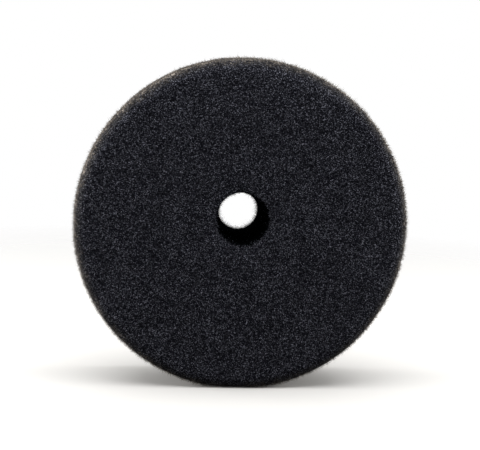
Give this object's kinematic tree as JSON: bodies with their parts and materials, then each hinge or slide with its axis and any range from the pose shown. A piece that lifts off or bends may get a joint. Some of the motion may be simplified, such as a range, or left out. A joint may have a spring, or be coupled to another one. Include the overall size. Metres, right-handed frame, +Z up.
{
  "type": "polishing pad",
  "caption": "Round black open-cell foam polishing pad, standing on its rim, with a hole through it, a rounded working edge and a hook-and-loop back.",
  "frame": {"origin": "on the surface that the rim stands on, under the middle of the pad's thickness", "axes": "+Z up, +Y along the pad's axis from the working face to the loop back, +X to the right when looking at the working face"},
  "size_m": [0.15, 0.035, 0.1485],
  "materials": {
    "foam": "matte",
    "adhesive": "satin",
    "knit": "matte",
    "loops": "matte"
  },
  "bodies": {
    "root": {"foam_pad": "foam", "adhesive_film": "adhesive", "loop_base_fabric": "knit", "loop_pile": "loops"}
  },
  "joints": []
}
